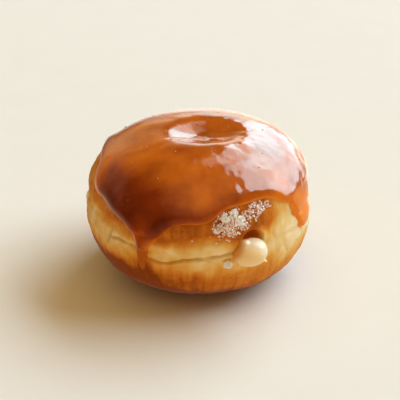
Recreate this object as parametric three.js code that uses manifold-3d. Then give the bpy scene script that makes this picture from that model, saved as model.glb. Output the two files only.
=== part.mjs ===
// A round filled doughnut standing on its flat base. Three pieces: the fried dough bun with
// coarse sugar beside its fill hole, the caramel glaze that caps it and runs down in drips,
// and the custard cream that fills it and bulges out of the hole.
//
// Millimetres. The origin is the centre of the base, +Z is up and -Y is the side of the hole.
// An azimuth is in degrees from +X, counter-clockwise seen from above. An elevation is in
// degrees above the level of the waist, seen from the middle of the bun.
import * as THREE from 'three';
import { mergeVertices } from 'three/addons/utils/BufferGeometryUtils.js';
import Module from 'manifold-3d';

// ---- Driving dimensions of the bun ----
const WAIST_RADIUS = 45.2;
const WAIST_HEIGHT = 27;
const DOME_RISE = 34.2; // waist to crown, before the dimple
const DOME_POWER = 2.75; // 2 is an ellipse, more is fuller in the shoulder
const BELLY_DROP = 28.2; // waist to the lowest point, before the base is flattened
const BELLY_POWER = 2.45;
const LEAN = 0.022; // sideways shift of the crown for each unit of height
const CROWN_TILT = 0.03; // how much the crown climbs towards +X
const DIMPLE = { x: 3, y: -2.5, halfLong: 13.5, halfWide: 9.8, depth: 3.6, power: 3 };

// The pale waist swells between the two browned halves, and creases where it folded in the fryer.
const WAIST_SWELL = { height: 29, halfWidth: 6.5, size: 0.7, power: 4 };
const SHOULDER_STEP = { height: 35.6, halfWidth: 1.9, size: 0.6 };
// The lower half bellies out further on one side.
const BELLY_SWELL = { azimuth: -25, spread: 44, height: 9.5, halfHeight: 14.2, size: 3.05 };
// One shoulder is fuller than the others.
const SHOULDER_SWELL = { azimuth: 178, spread: 32, height: 45.5, halfHeight: 6.5, size: 1.3 };
const CREASES = [
  { azimuth: -100, spread: 15, height: 27.6, wander: 1.3, phase: 0.4, halfWidth: 1.3, depth: 1.7 },
  { azimuth: -80, spread: 9, height: 30.2, wander: 0.8, phase: 2.1, halfWidth: 1.1, depth: 1.3 },
  { azimuth: -129, spread: 9, height: 30.2, wander: 0.6, phase: 1.2, halfWidth: 1.1, depth: 1.2 },
  { azimuth: 175, spread: 22, height: 28.4, wander: 1.1, phase: 3.0, halfWidth: 1.3, depth: 1.1 },
  { azimuth: 10, spread: 25, height: 29.2, wander: 1.2, phase: 5.2, halfWidth: 1.3, depth: 1.3 },
  { azimuth: 95, spread: 30, height: 27.9, wander: 1.4, phase: 4.1, halfWidth: 1.3, depth: 1.4 },
];
const CREASE_WAVES = 11; // turns of a crease's wander in one round of the bun

// Slow unevenness of the hand-shaped dough: lobes round the bun that slant as they climb.
const WAVES = [
  { lobes: 2, climb: 0.6, phase: 1.1, size: 0.16 },
  { lobes: 3, climb: 0.0, phase: 0.3, size: 0.55 },
  { lobes: 5, climb: 2.0, phase: 2.0, size: 0.2 },
  { lobes: 8, climb: -3.0, phase: 0.4, size: 0.14 },
  { lobes: 13, climb: 5.0, phase: 3.3, size: 0.08 },
];

// ---- Driving dimensions of the glaze ----
const GAP = 0.35; // air left between touching pieces
const GLAZE_THICKNESS = 1.35;
const GLAZE_BEAD = { size: 0.55, inset: 3.2, halfWidth: 2.4 }; // the thicker rim it pools into
const GLAZE_EDGE_SLOPE = 1.1; // how steeply the glaze rises from its edge
const GLAZE_EDGE_HEIGHT = 42.6; // mean height of the edge above the table
const DEEPEST_PLUNGE = 3; // how far its surface would pass into the bun below the edge
// Broad stretches where the edge stands higher or hangs lower.
const EDGE_APRONS = [
  { azimuth: -62, halfWidth: 20, rise: 5, power: 5 },
  { azimuth: 177.5, halfWidth: 23.2, rise: 7.2, power: 4.5 },
  { azimuth: -135.4, halfWidth: 8.9, rise: -2.8, power: 2.7 },
  { azimuth: 62, halfWidth: 22, rise: -3.6, power: 2 },
  { azimuth: 112, halfWidth: 15, rise: 3.2, power: 2 },
  { azimuth: 20, halfWidth: 14, rise: 2.6, power: 2 },
];
const DRIPS = [
  { azimuth: -116.8, halfWidth: 9.3, rise: -12.5, power: 1.8 },
  { azimuth: -23, halfWidth: 9.4, rise: -14.4, power: 3.5 },
  { azimuth: 48, halfWidth: 5, rise: -9, power: 3 },
  { azimuth: 148, halfWidth: 5, rise: -11, power: 3 },
];
// Below the fat drip a thin run has gone on down to the belly.
const THIN_RUN = { azimuth: -117.2, halfWidth: 2.3, rise: -9, power: 4 };
const RUN_THINNING = { share: 0.5, below: 30, fade: 3 };
const DRIP_BULGE = { azimuth: -117, height: 32.2, radius: 4.6, size: 0.9 };

// ---- Driving dimensions of the fill hole and the cream ----
const HOLE_AZIMUTH = -62;
const HOLE = { height: 33.4, halfWidth: 4.4, halfHeight: 4.0 };
const NECK = { halfHeight: 2.2, end: 45 }; // the cream lies in the lower part of the hole
const CORE = { height: 33, radius: 19, halfHeight: 10 };
const BLOB = { azimuth: -65, reach: 48, height: 30, across: 6.8, up: 5.0, deep: 5.2 };
const BLOB_CROWN = { aside: 1.0, above: 1.8, out: -0.4, across: 5.5, up: 3.6, deep: 4.7 };
const BLOB_TIP = { aside: 4.4, above: -3.2, out: 1.4, length: 2.2, radius: 1.6 };

// ---- Coarse sugar ----
const SUGAR_SEED = 71;
const GRAIN = { length: 1.6, width: 1.4, thickness: 1.2, sunk: 0.3, jitter: 0.28 };
const GRAIN_SCALE = { smallest: 0.42, largest: 0.72 };
const GRAIN_REACH = 0.95; // from a large grain's middle to its furthest corner
const SUGAR_PATCHES = [
  { azimuth: -73.5, height: 41.5, acrossDegrees: 7.5, tall: 5.2, grains: 36 },
  { azimuth: -60, height: 44.6, acrossDegrees: 8, tall: 2.0, grains: 12 },
  { azimuth: -74.6, height: 25.4, acrossDegrees: 2.8, tall: 1.8, grains: 6 },
];
const LONE_GRAINS = [[-84, 37.8], [-92.5, 36.1], [-79, 36.2], [-63.3, 13.8]];
const GRAIN_SPACING = 0.95;
const TRIES_PER_GRAIN = 60;
const SMALLEST_BITE = 0.02; // cubic millimetres of a grain that lie in the dough

// ---- Mesh fineness, in degrees ----
const BUN_COLUMNS = 64;
const DOME_RINGS = [35, 42, 50, 57, 64, 70, 76, 83, 90];
const WAIST_RINGS = [-14, -9, ...steps(-4.5, 9.5, 1.75), 12.5, 16, 20, 24, 29];
const BUN_RINGS = [-90, ...steps(-56, -20, 6), ...WAIST_RINGS, ...DOME_RINGS];
const GLAZE_RINGS = [-90, ...steps(-24, 31, 2.5), ...DOME_RINGS];
const GLAZE_STEP = 5; // between glaze columns away from the drips
const DRIP_COLUMNS = 7; // across a drip
const ROD_SIDES = 20;
const TIP_SIDES = 12;
const BALL = { columns: 18, rows: 11 };

const COLOURS = { dough: 0xd9a05a, glaze: 0xa8551c, cream: 0xf0d9a4 };

const { degToRad, clamp } = THREE.MathUtils;

// ---- Small helpers ----

function steps(first, last, step) {
  const values = [];
  for (let value = first; value <= last + 1e-9; value += step) values.push(value);
  return values;
}

// 1 at the middle of a hump and nearly 0 past its half width; a higher power squares it off.
function hump(distance, halfWidth, power = 2) {
  return Math.exp(-(Math.abs(distance / halfWidth) ** power));
}

function azimuthBetween(from, to) {
  return ((to - from + 540) % 360 + 360) % 360 - 180;
}

function seededRandom(seed) {
  let state = seed;
  return () => {
    state = (state + 0x6d2b79f5) | 0;
    let mixed = Math.imul(state ^ (state >>> 15), 1 | state);
    mixed = (mixed + Math.imul(mixed ^ (mixed >>> 7), 61 | mixed)) ^ mixed;
    return ((mixed ^ (mixed >>> 14)) >>> 0) / 4294967296;
  };
}

// ---- The bun's surface ----

const NORMAL_STEP = 0.6; // degrees between the points that give a normal
const SIDE_OF_BUN = { low: -50, high: 70 }; // elevations between which height only climbs
const SEARCH_HALVINGS = 30;

function waviness(azimuth, elevation) {
  const turn = degToRad(azimuth);
  const climb = degToRad(elevation);
  let sum = 0;
  for (const wave of WAVES) {
    sum += wave.size * Math.sin(wave.lobes * turn + wave.climb * climb + wave.phase);
  }
  return sum;
}

function creaseDepth(azimuth, height) {
  let depth = 0;
  for (const crease of CREASES) {
    const along = azimuthBetween(crease.azimuth, azimuth);
    const wander = crease.wander * Math.sin(CREASE_WAVES * degToRad(azimuth) + crease.phase);
    const line = crease.height + wander;
    depth += crease.depth * hump(along, crease.spread, 4) * hump(height - line, crease.halfWidth);
  }
  return depth;
}

// A point of the bun. The glaze lies on the bun as it was before it creased.
function bunPoint(azimuth, elevation, creased = false) {
  const turn = degToRad(azimuth);
  const climb = degToRad(elevation);
  const above = elevation > 0;
  const power = above ? DOME_POWER : BELLY_POWER;
  const rise = above ? DOME_RISE : BELLY_DROP;
  const level = Math.cos(climb);
  const reach =
    ((level / WAIST_RADIUS) ** power + (Math.abs(Math.sin(climb)) / rise) ** power) ** (-1 / power);
  let z = WAIST_HEIGHT + reach * Math.sin(climb);
  let radius = reach * level;
  radius += level * waviness(azimuth, elevation);
  radius += WAIST_SWELL.size * hump(z - WAIST_SWELL.height, WAIST_SWELL.halfWidth, WAIST_SWELL.power);
  radius -= SHOULDER_STEP.size * hump(z - SHOULDER_STEP.height, SHOULDER_STEP.halfWidth);
  const besideBelly = hump(azimuthBetween(BELLY_SWELL.azimuth, azimuth), BELLY_SWELL.spread, 4);
  const atBelly = hump(z - BELLY_SWELL.height, BELLY_SWELL.halfHeight);
  radius += BELLY_SWELL.size * besideBelly * atBelly * level;
  const besideShoulder = hump(azimuthBetween(SHOULDER_SWELL.azimuth, azimuth), SHOULDER_SWELL.spread, 4);
  const atShoulder = hump(z - SHOULDER_SWELL.height, SHOULDER_SWELL.halfHeight, 3);
  radius += SHOULDER_SWELL.size * besideShoulder * atShoulder;
  if (creased) radius -= creaseDepth(azimuth, z);
  radius = Math.max(radius, 0);
  const x = radius * Math.cos(turn);
  const y = radius * Math.sin(turn);
  const dome = clamp((z - WAIST_HEIGHT) / DOME_RISE, 0, 1);
  z += CROWN_TILT * x * dome;
  const fromDimple = Math.hypot((x - DIMPLE.x) / DIMPLE.halfLong, (y - DIMPLE.y) / DIMPLE.halfWide);
  z -= DIMPLE.depth * hump(fromDimple, 1, DIMPLE.power) * (above ? 1 : 0);
  z = Math.max(z, 0);
  return new THREE.Vector3(x + LEAN * (z - WAIST_HEIGHT), y, z);
}

function bunNormal(azimuth, elevation) {
  const step = NORMAL_STEP;
  if (Math.abs(elevation) > 90 - step) return new THREE.Vector3(0, 0, Math.sign(elevation));
  const along = bunPoint(azimuth + step, elevation).sub(bunPoint(azimuth - step, elevation));
  const up = bunPoint(azimuth, elevation + step).sub(bunPoint(azimuth, elevation - step));
  return along.cross(up).normalize();
}

// The elevation at which the bun reaches a height, on the side of an azimuth.
function elevationAt(azimuth, height) {
  let { low, high } = SIDE_OF_BUN;
  for (let halving = 0; halving < SEARCH_HALVINGS; halving += 1) {
    const middle = (low + high) / 2;
    if (bunPoint(azimuth, middle).z < height) low = middle;
    else high = middle;
  }
  return (low + high) / 2;
}

// ---- The glaze's edge and thickness ----

function edgeHeight(azimuth) {
  let height = GLAZE_EDGE_HEIGHT;
  for (const lobe of [...EDGE_APRONS, ...DRIPS, THIN_RUN]) {
    height += lobe.rise * hump(azimuthBetween(lobe.azimuth, azimuth), lobe.halfWidth, lobe.power);
  }
  return height;
}

const edgeLine = steps(-180, 179.5, 0.5).map((azimuth) =>
  bunPoint(azimuth, elevationAt(azimuth, edgeHeight(azimuth))),
);

function distanceToEdge(point) {
  let nearest = Infinity;
  const segment = new THREE.Line3();
  const foot = new THREE.Vector3();
  edgeLine.forEach((start, index) => {
    segment.set(start, edgeLine[(index + 1) % edgeLine.length]);
    segment.closestPointToPoint(point, true, foot);
    nearest = Math.min(nearest, foot.distanceTo(point));
  });
  return nearest;
}

const dripBulge = bunPoint(DRIP_BULGE.azimuth, elevationAt(DRIP_BULGE.azimuth, DRIP_BULGE.height));

// How far the glaze stands off the bun; past its edge it would pass down into the bun.
function glazeThickness(azimuth, point) {
  const inset = distanceToEdge(point);
  if (point.z < edgeHeight(azimuth)) return -Math.min(GLAZE_EDGE_SLOPE * inset, DEEPEST_PLUNGE);
  const bead = GLAZE_BEAD.size * hump(inset - GLAZE_BEAD.inset, GLAZE_BEAD.halfWidth);
  const bulge = DRIP_BULGE.size * hump(point.distanceTo(dripBulge), DRIP_BULGE.radius);
  const onRun = hump(azimuthBetween(THIN_RUN.azimuth, azimuth), THIN_RUN.halfWidth * 2, 4);
  const below = clamp((RUN_THINNING.below - point.z) / RUN_THINNING.fade, 0, 1);
  const thinning = 1 - RUN_THINNING.share * onRun * below;
  const full = (GLAZE_THICKNESS + bead + bulge) * thinning;
  return full * Math.tanh((GLAZE_EDGE_SLOPE * inset) / full);
}

// ---- Solids ----

// A closed skin over a stack of rings, whose first and last rings are single points.
// pointAt(column, ring) goes counter-clockwise with the columns and upward with the rings.
// Each four-sided cell is split along its shorter diagonal.
function skinGeometry(columns, rings, pointAt) {
  const points = [];
  const triangles = [];
  for (let ring = 0; ring < rings; ring += 1) {
    const isPole = ring === 0 || ring === rings - 1;
    for (let column = 0; column < (isPole ? 1 : columns); column += 1) {
      points.push(pointAt(column, ring));
    }
  }
  const top = points.length - 1;
  const index = (column, ring) => 1 + (ring - 1) * columns + (column % columns);
  for (let column = 0; column < columns; column += 1) {
    triangles.push(0, index(column + 1, 1), index(column, 1));
    triangles.push(top, index(column, rings - 2), index(column + 1, rings - 2));
    for (let ring = 1; ring < rings - 2; ring += 1) {
      const a = index(column, ring);
      const b = index(column + 1, ring);
      const c = index(column + 1, ring + 1);
      const d = index(column, ring + 1);
      const split = points[a].distanceTo(points[c]) <= points[b].distanceTo(points[d]);
      triangles.push(...(split ? [a, b, c, a, c, d] : [a, b, d, b, c, d]));
    }
  }
  const geometry = new THREE.BufferGeometry().setFromPoints(points);
  geometry.setIndex(triangles);
  return geometry;
}

const wasm = await Module();
wasm.setup();

function toManifold(geometry) {
  const bare = geometry.clone();
  for (const name of Object.keys(bare.attributes)) {
    if (name !== 'position') bare.deleteAttribute(name);
  }
  const merged = mergeVertices(bare, 1e-4);
  return new wasm.Manifold(
    new wasm.Mesh({
      numProp: 3,
      vertProperties: new Float32Array(merged.attributes.position.array),
      triVerts: new Uint32Array(merged.index.array),
    }),
  );
}

function toGeometry(manifold) {
  const mesh = manifold.getMesh();
  const geometry = new THREE.BufferGeometry();
  geometry.setAttribute('position', new THREE.BufferAttribute(mesh.vertProperties, 3));
  geometry.setIndex(new THREE.BufferAttribute(mesh.triVerts, 1));
  return geometry;
}

// The frame at an azimuth: x to the right as seen from outside, y up, z outward.
function outwardFrame(azimuth, reach, height) {
  const outward = new THREE.Vector3(Math.cos(degToRad(azimuth)), Math.sin(degToRad(azimuth)), 0);
  const up = new THREE.Vector3(0, 0, 1);
  const right = new THREE.Vector3().crossVectors(up, outward);
  const origin = outward.clone().multiplyScalar(reach).setZ(height);
  return new THREE.Matrix4().makeBasis(right, up, outward).setPosition(origin);
}

function ellipsoid(frame, centre, halfSizes) {
  const geometry = new THREE.SphereGeometry(1, BALL.columns, BALL.rows);
  geometry.scale(...halfSizes).translate(...centre).applyMatrix4(frame);
  return toManifold(geometry);
}

// An oval rod along the frame's z axis, from one reach to another.
function ovalRod(frame, halfWidth, halfHeight, from, to) {
  const geometry = new THREE.CylinderGeometry(1, 1, to - from, ROD_SIDES);
  geometry.rotateX(Math.PI / 2).scale(halfWidth, halfHeight, 1).translate(0, 0, (from + to) / 2);
  return toManifold(geometry.applyMatrix4(frame));
}

// The cream, or with a margin the room that the dough leaves for it.
function creamShape(margin) {
  const core = ellipsoid(
    outwardFrame(HOLE_AZIMUTH, 0, CORE.height),
    [0, 0, 0],
    [CORE.radius + margin, CORE.halfHeight + margin, CORE.radius + margin],
  );
  const neckHeight = HOLE.height - HOLE.halfHeight + GAP + NECK.halfHeight;
  const neck = ovalRod(
    outwardFrame(HOLE_AZIMUTH, 0, neckHeight),
    HOLE.halfWidth - GAP + margin,
    NECK.halfHeight + margin,
    CORE.radius / 2,
    NECK.end,
  );
  const frame = outwardFrame(BLOB.azimuth, BLOB.reach, BLOB.height);
  const blob = ellipsoid(
    frame,
    [0, 0, 0],
    [BLOB.across + margin, BLOB.up + margin, BLOB.deep + margin],
  );
  const crown = ellipsoid(
    frame,
    [BLOB_CROWN.aside, BLOB_CROWN.above, BLOB_CROWN.out],
    [BLOB_CROWN.across + margin, BLOB_CROWN.up + margin, BLOB_CROWN.deep + margin],
  );
  return core.add(neck).add(blob).add(crown);
}

// The small peak where the piping nozzle pulled away.
function creamTip() {
  const frame = outwardFrame(BLOB.azimuth, BLOB.reach, BLOB.height);
  const foot = new THREE.Vector3(BLOB_TIP.aside, BLOB_TIP.above, BLOB_TIP.out);
  const geometry = new THREE.ConeGeometry(BLOB_TIP.radius, BLOB_TIP.length * 2, TIP_SIDES);
  const turn = new THREE.Quaternion().setFromUnitVectors(
    new THREE.Vector3(0, 1, 0),
    foot.clone().normalize(),
  );
  geometry.applyQuaternion(turn).translate(...foot.toArray());
  return toManifold(geometry.applyMatrix4(frame));
}

function fillHole() {
  const frame = outwardFrame(HOLE_AZIMUTH, 0, HOLE.height);
  return ovalRod(frame, HOLE.halfWidth, HOLE.halfHeight, CORE.radius / 2, WAIST_RADIUS + 6);
}

// The dough of the bun, or the room that the glaze leaves for it, which has no creases.
function bunShape(creased, margin) {
  const geometry = skinGeometry(BUN_COLUMNS, BUN_RINGS.length, (column, ring) => {
    const azimuth = (column * 360) / BUN_COLUMNS;
    const point = bunPoint(azimuth, BUN_RINGS[ring], creased);
    return point.addScaledVector(bunNormal(azimuth, BUN_RINGS[ring]), margin);
  });
  return toManifold(geometry);
}

// One crystal: an uneven block with a share of its thickness sunk in the dough.
function grainShape(azimuth, height, random) {
  const elevation = elevationAt(azimuth, height);
  const size = THREE.MathUtils.lerp(GRAIN_SCALE.smallest, GRAIN_SCALE.largest, random());
  const geometry = mergeVertices(
    new THREE.BoxGeometry(GRAIN.length, GRAIN.width, GRAIN.thickness)
      .deleteAttribute('normal')
      .deleteAttribute('uv'),
  );
  const position = geometry.attributes.position;
  for (let corner = 0; corner < position.count; corner += 1) {
    const stretch = size * (1 + GRAIN.jitter * (2 * random() - 1));
    position.setXYZ(
      corner,
      position.getX(corner) * stretch,
      position.getY(corner) * stretch,
      position.getZ(corner) * stretch,
    );
  }
  const spin = new THREE.Euler(Math.PI * random(), Math.PI * random(), Math.PI * random());
  const seat = bunPoint(azimuth, elevation, true);
  const lift = size * GRAIN.thickness * (0.5 - GRAIN.sunk);
  seat.addScaledVector(bunNormal(azimuth, elevation), lift);
  geometry.applyQuaternion(new THREE.Quaternion().setFromEuler(spin)).translate(...seat.toArray());
  return { seat, size, manifold: toManifold(geometry) };
}

// Whether a grain may lie there: clear of the glaze, the hole and the cream.
function isBareDough(azimuth, height) {
  const clearance = GRAIN_REACH + GAP;
  const point = bunPoint(azimuth, elevationAt(azimuth, height));
  if (height > edgeHeight(azimuth) || distanceToEdge(point) < clearance) return false;
  const toBlob = new THREE.Vector3().setFromMatrixPosition(
    outwardFrame(BLOB.azimuth, BLOB.reach, BLOB.height),
  );
  const toHole = bunPoint(HOLE_AZIMUTH, elevationAt(HOLE_AZIMUTH, HOLE.height));
  const clearOfBlob = point.distanceTo(toBlob) > BLOB.across + 2 * clearance;
  return clearOfBlob && point.distanceTo(toHole) > HOLE.halfWidth + clearance;
}

function sugarGrains() {
  const random = seededRandom(SUGAR_SEED);
  const grains = LONE_GRAINS.map(([azimuth, height]) => grainShape(azimuth, height, random));
  for (const patch of SUGAR_PATCHES) {
    let placed = 0;
    const tries = TRIES_PER_GRAIN * patch.grains;
    for (let attempt = 0; attempt < tries && placed < patch.grains; attempt += 1) {
      const swing = Math.sqrt(random());
      const heading = 2 * Math.PI * random();
      const azimuth = patch.azimuth + patch.acrossDegrees * swing * Math.cos(heading);
      const height = patch.height + patch.tall * swing * Math.sin(heading);
      if (!isBareDough(azimuth, height)) continue;
      const grain = grainShape(azimuth, height, random);
      const crowded = grains.some((other) => other.seat.distanceTo(grain.seat) < GRAIN_SPACING);
      if (crowded) continue;
      grains.push(grain);
      placed += 1;
    }
  }
  return grains.map((grain) => grain.manifold);
}

// A grain that hardly bites into the dough would hang loose, so it is left off.
function doughGeometry() {
  const hollowed = bunShape(true, 0).subtract(creamShape(GAP)).subtract(fillHole());
  const holds = (grain) => hollowed.intersect(grain).volume() > SMALLEST_BITE;
  const held = sugarGrains().filter(holds);
  return toGeometry(held.reduce((whole, grain) => whole.add(grain), hollowed));
}

function creamGeometry() {
  return toGeometry(creamShape(0).add(creamTip()));
}

// Azimuths of the glaze's columns, close together on every drip.
function glazeColumns() {
  const columns = [];
  let azimuth = -180;
  while (azimuth < 180) {
    columns.push(azimuth);
    let step = GLAZE_STEP;
    for (const drip of [...DRIPS, THIN_RUN]) {
      const onDrip = Math.abs(azimuthBetween(drip.azimuth, azimuth)) < 1.2 * drip.halfWidth;
      if (onDrip) step = Math.min(step, (2 * drip.halfWidth) / DRIP_COLUMNS);
    }
    azimuth += step;
  }
  return columns;
}

function glazeGeometry() {
  const columns = glazeColumns();
  const blanket = skinGeometry(columns.length, GLAZE_RINGS.length, (column, ring) => {
    if (ring === 0) return new THREE.Vector3(0, 0, WAIST_HEIGHT);
    const azimuth = columns[column];
    const elevation = GLAZE_RINGS[ring];
    const point = bunPoint(azimuth, elevation);
    const thickness = glazeThickness(azimuth, point);
    return point.addScaledVector(bunNormal(azimuth, elevation), GAP + thickness);
  });
  return toGeometry(toManifold(blanket).subtract(bunShape(false, GAP)));
}

// ---- The doughnut ----

const doughnut = new THREE.Group();

function addPiece(name, geometry, roughness) {
  const material = new THREE.MeshStandardMaterial({ color: COLOURS[name], roughness, metalness: 0 });
  const mesh = new THREE.Mesh(geometry, material);
  mesh.name = name;
  doughnut.add(mesh);
}

addPiece('dough', doughGeometry(), 0.8);
addPiece('glaze', glazeGeometry(), 0.12);
addPiece('cream', creamGeometry(), 0.45);

export default doughnut;
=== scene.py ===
"""Looks of a round filled doughnut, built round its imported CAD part.

Four pieces: fried dough, caramel glaze, the cream that bulges out of the fill hole, and the
coarse sugar beside it. Shapes are worked out in millimetres in the CAD frame (origin in the
middle of the base, +Z up, -Y towards the camera). An azimuth is in degrees from +X,
counter-clockwise seen from above; an elevation is in degrees above the level of the waist.
"""
import math

import bpy
import numpy as np
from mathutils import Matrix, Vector
from mathutils.kdtree import KDTree


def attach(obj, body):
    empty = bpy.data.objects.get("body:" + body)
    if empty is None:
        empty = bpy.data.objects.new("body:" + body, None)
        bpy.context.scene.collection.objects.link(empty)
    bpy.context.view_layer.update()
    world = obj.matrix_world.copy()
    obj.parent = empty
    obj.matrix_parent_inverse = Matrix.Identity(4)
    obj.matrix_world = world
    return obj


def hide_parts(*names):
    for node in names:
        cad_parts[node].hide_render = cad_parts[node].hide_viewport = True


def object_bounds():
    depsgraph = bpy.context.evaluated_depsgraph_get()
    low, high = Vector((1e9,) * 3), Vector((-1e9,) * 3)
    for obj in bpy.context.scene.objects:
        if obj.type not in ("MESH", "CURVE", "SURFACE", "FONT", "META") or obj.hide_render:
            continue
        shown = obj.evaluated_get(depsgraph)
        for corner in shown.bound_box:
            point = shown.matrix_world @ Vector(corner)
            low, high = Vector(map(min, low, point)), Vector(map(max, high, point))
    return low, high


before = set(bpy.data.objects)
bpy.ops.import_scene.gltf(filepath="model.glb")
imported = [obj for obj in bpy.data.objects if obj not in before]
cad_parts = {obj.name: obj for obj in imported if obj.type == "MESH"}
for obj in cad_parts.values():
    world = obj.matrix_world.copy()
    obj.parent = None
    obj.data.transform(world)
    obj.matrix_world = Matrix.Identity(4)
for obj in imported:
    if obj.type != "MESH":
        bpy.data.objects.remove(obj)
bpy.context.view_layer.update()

MM = 0.001

# ---- Driving dimensions of the bun ----
WAIST_RADIUS = 45.2
WAIST_HEIGHT = 27.0
DOME_RISE = 34.2
DOME_POWER = 2.75
BELLY_DROP = 28.2
BELLY_POWER = 2.45
LEAN = 0.022  # to the right, as a share of the height over the waist
CROWN_TILT = 0.03  # the crown rises to the right, as a share of the way
DIMPLE = dict(x=3.0, y=-2.5, half_long=13.5, half_wide=9.8, depth=3.6, power=3)
# the waist stands out all round and the step over it is sunk in: height, half width, size, power
BELTS = [(29.0, 6.5, 0.7, 4), (35.6, 1.9, -0.6, 2)]
BELLY_SWELL = dict(azimuth=-25, spread=44, height=9.5, half_height=14.2, size=3.05, power=2)
SHOULDER_SWELL = dict(azimuth=178, spread=32, height=45.5, half_height=6.5, size=1.3, power=3)
# the creases round the waist: azimuth, spread, height, wander, phase, half width, depth
CREASES = [
    (-100, 15, 27.4, 1.6, 0.12, 0.5, 1.25),
    (-80, 9, 30.2, 0.8, 2.1, 0.6, 1.0),
    (-129, 9, 30.2, 0.6, 1.2, 0.7, 1.2),
    (175, 22, 28.4, 1.1, 3.0, 0.8, 1.1),
    (10, 25, 29.2, 1.2, 5.2, 0.8, 1.3),
    (95, 30, 27.9, 1.4, 4.1, 0.8, 1.4),
    (-75.6, 2.4, 28.0, 0.5, 2.0, 0.5, 1.1),
]
CREASE_WAVES = 11  # waves of a crease's wander in a full turn
# short upright folds of the pale band: azimuth, height, half height, half width, depth
UPRIGHT_FOLDS = [(-138.5, 31.0, 3.6, 1.1, 0.9)]
UPRIGHT_LEAN = 0.25  # degrees that such a fold runs aside in each millimetre up
# the bun's waviness: lobes, climb, phase, size
WAVES = [
    (2, 0.6, 1.1, 0.16), (3, 0, 0.3, 0.55), (5, 2, 2.0, 0.2), (8, -3, 0.4, 0.14),
    (13, 5, 3.3, 0.08),
]

# ---- Driving dimensions of the glaze ----
GAP = 0.35  # between the glaze and the dough, and round the neck in the hole
GLAZE_THICKNESS = 1.35
GLAZE_BEAD = dict(size=0.55, inset=3.2, half_width=2.4)
GLAZE_EDGE_SLOPE = 2.4
GLAZE_EDGE_HEIGHT = 42.6
# broad stretches of the edge, the drips, and last the thin run: azimuth, half width, rise, power
EDGE_LOBES = [
    (-62, 20, 5, 5), (177.5, 23.2, 7.2, 4.5), (-135.4, 8.9, -2.8, 2.7), (62, 22, -3.6, 2),
    (112, 15, 3.2, 2), (20, 14, 2.6, 2), (-116.8, 9.3, -12.5, 1.8), (-23, 9.4, -14.4, 3.5),
    (48, 5, -9, 3), (148, 5, -11, 3), (-117.2, 2.3, -9, 4),
]
# where the run under the fat front drip is thin and dull, and how much thinner it is there
THIN_RUN = dict(azimuth=-117.2, half_width=4.6, below=30.0, fade=2.0, thinning=0.78)
# the fat drip's bead, and the right drip, which is flat and dull
DRIP_BULGE = dict(azimuth=-117, height=32.2, radius=4.6, size=0.9)
FLAT_DRIP = dict(azimuth=-23, half_width=13, below=43.0, fade=3.0)
# spots of painted shade on the caramel, and of painted highlight where the strength is below 0: azimuth,
# height, half width, strength
PAINTED_SHADE_SPOTS = [
    (-141, 47.5, 9, 0.7), (-127, 43.5, 8, 0.85), (-117, 43.5, 7.5, 0.55), (-106, 46.5, 6, 0.3),
    (-152, 51, 6, 0.3), (-157, 45, 6, -0.5), (-164, 50, 6, -0.6), (-90, 51, 7, -0.15),
    (-98, 45, 8, 0.15), (-107, 43.5, 6, 0.1), (-144, 55.5, 7, -0.3), (-96, 56.5, 6, -0.4),
    (-74, 45.5, 4.5, 0.15), (-68, 47, 4.5, 0.15), (-61, 47.6, 4.5, 0.1), (-118, 36, 4.5, -0.5),
    (-104, 40.5, 4.5, 0.4), (-94, 43, 4.5, 0.35), (-84, 44.5, 4.5, 0.3), (-113, 54, 6, -0.2),
    (-116, 48.5, 5, 0.3), (-112, 60, 5.5, 0.35), (-26, 34, 9, -0.9), (-121, 56, 6, 0.25),
    (-110, 37, 4, 0.3), (-104, 40, 4, 0.2), (-42, 46.5, 6, -0.5),
]
# painted shade in the same way in the crown's dimple
DIMPLE_PAINTED_SHADE = dict(x=7.5, y=-1.0, half_width=9.5, power=3, strength=0.28)

# ---- Driving dimensions of the fill hole and the cream ----
HOLE_AZIMUTH = -62.0
HOLE = dict(height=33.4, half_width=4.4, half_height=4.0, depth=9.0)
# the cream in the hole, with its middle's distance from the bun's axis
NECK = dict(half_height=1.2, middle=26.0, half_length=21.5)
CORE = dict(height=33.0, radius=19.0, half_height=10.0)
BLOB = dict(azimuth=-65.0, reach=48.0, height=30.0, across=6.8, up=5.0, deep=5.2)
# a bulge on the blob, placed from its middle: aside, above and outward
BLOB_CROWN = dict(aside=1.0, above=1.8, out=-0.4, across=5.5, up=3.6, deep=4.7)
# the bulge that wells up at the hole's left end
BLOB_SHOULDER = dict(aside=-2.1, above=3.9, out=-0.6, across=2.3, up=2.0, deep=2.3)
# the fold where the nozzle pulled away, curling into a tip: aside, above, out, radius
BLOB_FOLD = [
    (0.6, -3.6, 2.4, 0.9), (1.8, -2.9, 3.1, 0.9), (2.8, -2.4, 3.3, 0.9), (3.8, -2.2, 3.0, 0.9),
    (4.9, -3.0, 2.4, 0.65), (5.8, -3.8, 2.1, 0.42), (6.4, -4.4, 2.0, 0.22),
]
# the dough that bulges over the cream's upper left
LIP = dict(azimuth=-71.6, height=34.6, radius=3.0, size=0.6)

# ---- Coarse sugar ----
SUGAR_SEED = 71
# a grain's size before it is scaled; how much of it is sunk and how uneven its corners are, in shares
GRAIN = dict(length=1.6, width=1.4, thickness=1.2, sunk=0.3, jitter=0.28)
GRAIN_SCALE = (0.17, 0.46)  # of the smallest and of the largest
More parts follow.
